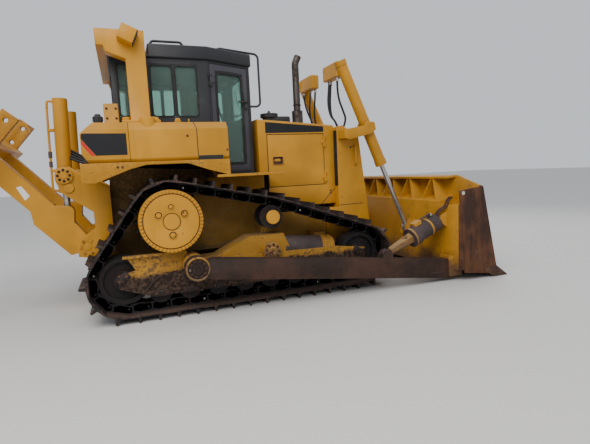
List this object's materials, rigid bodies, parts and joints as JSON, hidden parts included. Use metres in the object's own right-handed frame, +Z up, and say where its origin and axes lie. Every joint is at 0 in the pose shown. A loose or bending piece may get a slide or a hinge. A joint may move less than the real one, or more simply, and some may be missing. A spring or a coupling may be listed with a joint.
{
  "type": "crawler bulldozer",
  "caption": "Crawler bulldozer with a semi-U blade on push arms, a raised multi-shank ripper, steel tracks and an enclosed cab.",
  "frame": {"origin": "middle of the overall box, on the ground under the tracks", "axes": "+X forward to the blade, +Y the machine's left, +Z up"},
  "size_m": [6.874, 3.26, 3.1052],
  "materials": {
    "paint_yellow": "worn semi-gloss yellow paint with dust and rust",
    "paint_black": "satin black paint with dust",
    "plastic_black": "matte black plastic",
    "seat_cloth": "dark seat cloth",
    "steel_dark": "sooty dark cast metal",
    "steel_rusty": "rusty and muddy dark steel",
    "steel_worn": "steel worn bright at its edges, rusty elsewhere",
    "chrome_rod": "polished hard-chromed rod",
    "cab_glass": "green-tinted clear glass"
  },
  "bodies": {
    "tractor": {"air_intake": "plastic_black", "cab_frame": "paint_black", "cab_roof": "paint_black", "cab_windows": "cab_glass", "console": "plastic_black", "engine_block": "steel_dark", "exhaust_stack": "steel_dark", "fender_left": "paint_yellow", "fender_right": "paint_yellow", "fuel_tank": "paint_yellow", "grab_rails": "paint_black", "grille": "paint_black", "hood": "paint_yellow", "main_frame": "paint_yellow", "radiator_guard": "paint_yellow", "ripper_bracket": "paint_yellow", "rollover_frame": "paint_yellow", "running_wheels_left": "steel_rusty", "running_wheels_right": "steel_rusty", "seat": "seat_cloth", "side_tank_left": "paint_yellow", "side_tank_right": "paint_yellow", "sprocket_left": "paint_yellow", "sprocket_right": "paint_yellow", "track_frame_left": "paint_yellow", "track_frame_right": "paint_yellow", "track_left": "steel_rusty", "track_right": "steel_rusty", "work_lights": "paint_yellow"},
    "blade_frame": {"blade": "paint_yellow", "cutting_edge": "steel_worn", "push_arms": "steel_rusty", "tilt_cylinder": "paint_yellow", "tilt_brace": "steel_rusty"},
    "lift_barrels": {"lift_barrels": "paint_yellow"},
    "lift_rods": {"lift_rods": "chrome_rod"},
    "ripper": {"ripper_frame": "paint_yellow", "ripper_shanks": "steel_worn"},
    "ripper_barrels": {"ripper_barrels": "paint_yellow"},
    "ripper_rods": {"ripper_rods": "chrome_rod"},
    "cab_door_right": {"cab_door_right": "paint_black", "cab_door_glass_right": "cab_glass"},
    "cab_door_left": {"cab_door_left": "paint_black", "cab_door_glass_left": "cab_glass"},
    "engine_door_right": {"engine_door_right": "paint_yellow"},
    "engine_door_left": {"engine_door_left": "paint_yellow"}
  },
  "joints": [
    {"name": "blade_lift", "type": "hinge", "parent": "tractor", "child": "blade_frame", "pos_m": [-0.655, 0, 0.562], "axis": [0, -1, 0], "range_deg": [-7.3, 15.6]},
    {"name": "lift_barrel_swing", "type": "hinge", "parent": "tractor", "child": "lift_barrels", "pos_m": [1.875, 0, 2.062], "axis": [0, -1, 0], "range_deg": [-10, 19]},
    {"name": "lift_rod_slide", "type": "slide", "parent": "lift_barrels", "child": "lift_rods", "axis": [0.397, 0, -0.9178], "range_m": [-0.8, 0.38]},
    {"name": "ripper_lift", "type": "hinge", "parent": "tractor", "child": "ripper", "pos_m": [-1.735, 0, 0.79], "axis": [0, 1, 0], "range_deg": [-40, 0]},
    {"name": "ripper_barrel_swing", "type": "hinge", "parent": "tractor", "child": "ripper_barrels", "pos_m": [-1.9, 0, 1.6], "axis": [0, 1, 0], "range_deg": [-1, 23]},
    {"name": "ripper_rod_slide", "type": "slide", "parent": "ripper_barrels", "child": "ripper_rods", "axis": [-0.0296, 0, -0.9996], "range_m": [-0.01, 0.27]},
    {"name": "cab_door_right_swing", "type": "hinge", "parent": "tractor", "child": "cab_door_right", "pos_m": [-0.24005, -0.75743, 2.19], "axis": [0, 0, -1], "range_deg": [0, 60]},
    {"name": "cab_door_left_swing", "type": "hinge", "parent": "tractor", "child": "cab_door_left", "pos_m": [-0.24005, 0.75743, 2.19], "axis": [0, 0, 1], "range_deg": [0, 60]},
    {"name": "engine_door_right_swing", "type": "hinge", "parent": "tractor", "child": "engine_door_right", "pos_m": [1.3025, -0.514, 1.67], "axis": [0, 0, 1], "range_deg": [0, 90]},
    {"name": "engine_door_left_swing", "type": "hinge", "parent": "tractor", "child": "engine_door_left", "pos_m": [1.3025, 0.514, 1.67], "axis": [0, 0, -1], "range_deg": [0, 90]}
  ],
  "couplings": [
    {"joint": "lift_barrel_swing", "follows": "blade_lift", "ratio": 0.86},
    {"joint": "lift_rod_slide", "follows": "blade_lift", "m_per_rad": -2.91},
    {"joint": "ripper_barrel_swing", "follows": "ripper_lift", "ratio": -0.54},
    {"joint": "ripper_rod_slide", "follows": "ripper_lift", "m_per_rad": -0.34}
  ]
}
